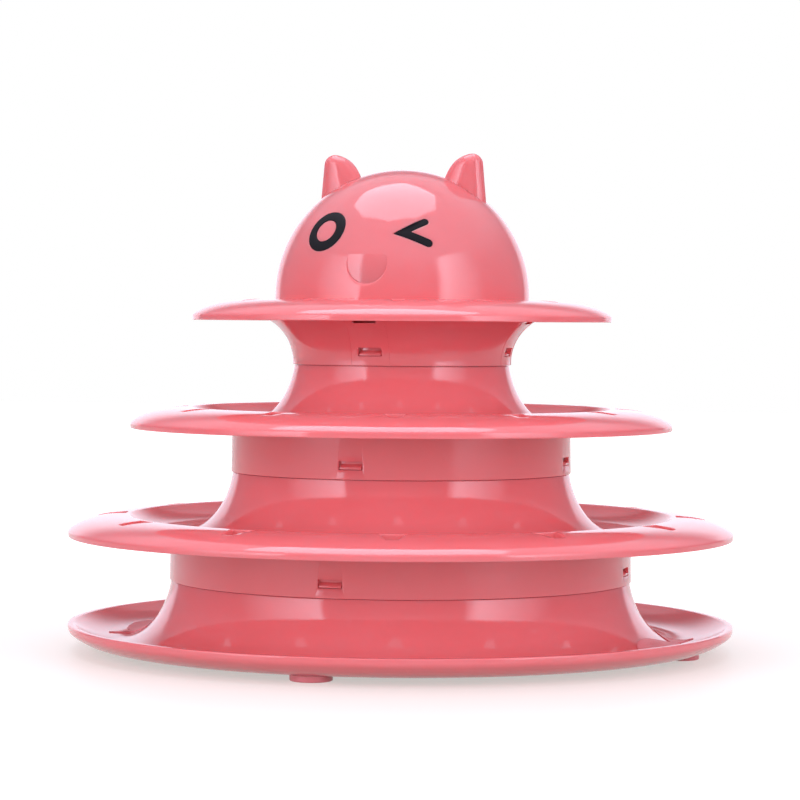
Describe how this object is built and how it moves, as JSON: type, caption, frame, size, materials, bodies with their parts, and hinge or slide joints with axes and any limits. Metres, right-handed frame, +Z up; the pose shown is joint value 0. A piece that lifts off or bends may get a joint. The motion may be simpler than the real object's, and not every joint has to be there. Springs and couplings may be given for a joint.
{
  "type": "cat ball track toy",
  "caption": "Tiered ball track tower for cats: stacked round discs on a hollow core, with a ball in each track and a cat's head on top.",
  "frame": {"origin": "on the tower's axis, level with the undersides of the feet", "axes": "+Z up along the tower's axis, the cat's face looks along -Y"},
  "size_m": [0.2504, 0.2504, 0.1868],
  "materials": {
    "tower_plastic": "glossy moulded pink",
    "eye_inlay": "satin black",
    "foot_pad": "soft pink",
    "ball_plastic": "glossy"
  },
  "bodies": {
    "tower": {"base_tray": "tower_plastic", "lower_tier": "tower_plastic", "middle_tier": "tower_plastic", "top_tier": "tower_plastic", "head_shell": "tower_plastic", "eye_ring": "eye_inlay", "eye_wink": "eye_inlay", "foot_front": "foot_pad", "foot_right": "foot_pad", "foot_back": "foot_pad", "foot_left": "foot_pad"},
    "lower_ball": {"ball_lower": "ball_plastic"},
    "middle_ball": {"ball_middle": "ball_plastic"},
    "upper_ball": {"ball_upper": "ball_plastic"}
  },
  "joints": [
    {"name": "lower_ball_orbit", "type": "hinge", "parent": "tower", "child": "lower_ball", "pos_m": [0, 0, 0], "axis": [0, 0, 1], "continuous": true},
    {"name": "middle_ball_orbit", "type": "hinge", "parent": "tower", "child": "middle_ball", "pos_m": [0, 0, 0], "axis": [0, 0, 1], "continuous": true},
    {"name": "upper_ball_orbit", "type": "hinge", "parent": "tower", "child": "upper_ball", "pos_m": [0, 0, 0], "axis": [0, 0, 1], "continuous": true}
  ]
}
